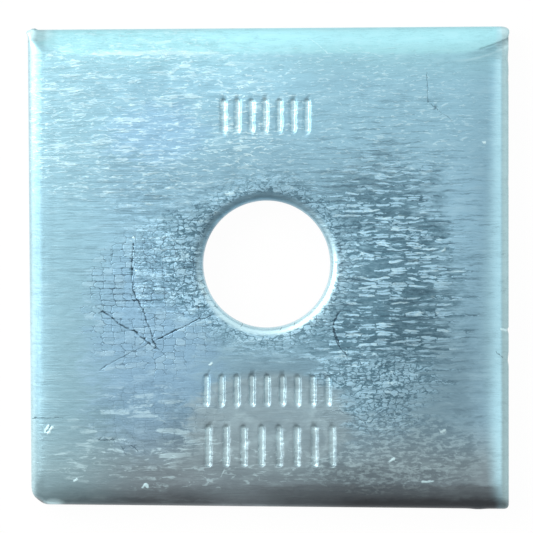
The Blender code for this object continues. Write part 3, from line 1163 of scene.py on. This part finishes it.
# %% Run the relief
MARK_SIZES = {
    "Tick": (0.95, 0.32),
    "Crack": (0.34, 0.06),
    "Hairline": (0.18, 0.02),
    "Crease": (0.45, 0.06),
    "Chip": (0.5, -0.02),
    "Scratch": (0.2, 0.01),
}
RIPPLE = 0.05 * MM
SHARP_ANGLE = math.radians(50)


def guide(name, paths):
    """An object whose edges follow the paths."""
    points = [point for path in paths for point in path]
    edges = []
    first = 0
    for path in paths:
        edges += [(index, index + 1) for index in range(first, first + len(path) - 1)]
        first += len(path)
    return bare_object(name, points, edges)


guides = {label: guide(label + "_paths", paths) for label, paths in paths_by_mark.items()}
values = {"Ripple": RIPPLE, "Face Height": face_height, "Plating": zinc}
for label, (width, depth) in MARK_SIZES.items():
    values[label + " Paths"] = guides[label]
    values[label + " Width"] = width * MM
    values[label + " Depth"] = depth * MM
run_tree(skin, relief, relief_inputs, values)
for made in guides.values():
    bpy.data.objects.remove(made)
skin.data.shade_smooth()
skin.data.set_sharp_from_angle(angle=SHARP_ANGLE)
top_height = max(vertex.co.z for vertex in skin.data.vertices)
print("skin:", len(skin.data.polygons), "faces, height", round(top_height / MM, 3), "mm")

# %% [markdown]
# ## The sky
# The photo was taken on a white ground, under soft light from behind and from the left. The sky is a
# soft gradient, brighter there than in front. The camera itself sees plain white.

# %% Sky
WORLD_LEVEL = 0.82
DARKEST = 0.08

world = bpy.data.worlds.new("studio")
world.use_nodes = True
sky_tree = world.node_tree
sky_x, sky_y, _ = components(add_node(sky_tree, "ShaderNodeTexCoord", output="Generated"))
sides = sky_x * sky_x
level = sides * 0.2 + sides * sides * 0.35 + sky_y * 0.5 - sky_x * 0.16 + WORLD_LEVEL
seen = add_node(sky_tree, "ShaderNodeLightPath", output="Is Camera Ray")
level = seen + (1 - seen) * level.math("MAXIMUM", level, DARKEST)
background = sky_tree.nodes["Background"]
background.inputs["Color"].default_value = (1, 1, 1, 1)
sky_tree.links.new(level.socket, background.inputs["Strength"])
bpy.context.scene.world = world
print("sky:", len(sky_tree.nodes), "nodes")

# %% [markdown]
# ## The floor
# The floor is a pale sheet just under the washer. To the camera and in reflections it nearly glows
# white, so that only a faint shadow stays on it. For all other light it is plain paint.

# %% Floor
FLOOR_SIZE = 1.2
FLOOR_GAP = 0.02 * MM
FLOOR_PAINT = (0.85, 0.85, 0.85, 1)
GLOW_SHARE = 0.97

floor_mesh = bpy.data.meshes.new("floor")
corners = [quarter.to_3d() * (FLOOR_SIZE / 2) for quarter in QUARTERS]
floor_mesh.from_pydata(corners, [], [(0, 1, 2, 3)])
floor = add_object("floor", floor_mesh)
floor.location.z = -FLOOR_GAP

white = bpy.data.materials.new("white_floor")
white.use_nodes = True
white.node_tree.nodes.clear()
ray = add_node(white.node_tree, "ShaderNodeLightPath").socket.node.outputs
seen = Wire(ray["Is Camera Ray"]) + Wire(ray["Is Glossy Ray"]) + Wire(ray["Is Transmission Ray"])
paint = seen.node("ShaderNodeBsdfDiffuse", {}, {"Color": FLOOR_PAINT})
glow = seen.node("ShaderNodeEmission", {}, {"Color": (1, 1, 1, 1), "Strength": 1.0})
mixed = {0: clipped(seen) * GLOW_SHARE, 1: paint, 2: glow}
seen.node("ShaderNodeOutputMaterial", {}, {0: seen.node("ShaderNodeMixShader", {}, mixed)})
floor_mesh.materials.append(white)
print("floor:", len(white.node_tree.nodes), "nodes")

# %% [markdown]
# ## The lamp and the camera
# A large lamp behind the left side adds its own slow fall across the face. The camera looks straight
# down through a long lens, a little to the left of the middle and behind it, as in the photo.

# %% Lamp and camera
LAMP_PLACE = (-0.2, 0.1, 0.2)
LAMP_SIZE = 0.25
LAMP_POWER = 0.72
LENS = 200
SENSOR = 36
CAMERA_HEIGHT = 0.4679
CAMERA_PLACE = (-0.29 * MM, 0.16 * MM, face_height + CAMERA_HEIGHT)

lamp = bpy.data.lights.new("soft_lamp", "AREA")
lamp.shape = "DISK"
lamp.size = LAMP_SIZE
lamp.energy = LAMP_POWER
lamp_object = add_object("soft_lamp", lamp)
lamp_object.location = LAMP_PLACE
lamp_object.rotation_euler = (-lamp_object.location).to_track_quat("-Z", "Y").to_euler()

lens = bpy.data.cameras.new("camera")
lens.lens = LENS
lens.sensor_width = SENSOR
camera = add_object("camera", lens)
camera.location = CAMERA_PLACE
bpy.context.scene.camera = camera
bpy.context.scene.view_settings.view_transform = "Standard"
print("camera at", [round(c / MM, 2) for c in CAMERA_PLACE], "mm")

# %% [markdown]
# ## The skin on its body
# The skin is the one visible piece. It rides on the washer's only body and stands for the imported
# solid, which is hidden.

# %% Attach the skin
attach(skin, "root")
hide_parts(NODE)
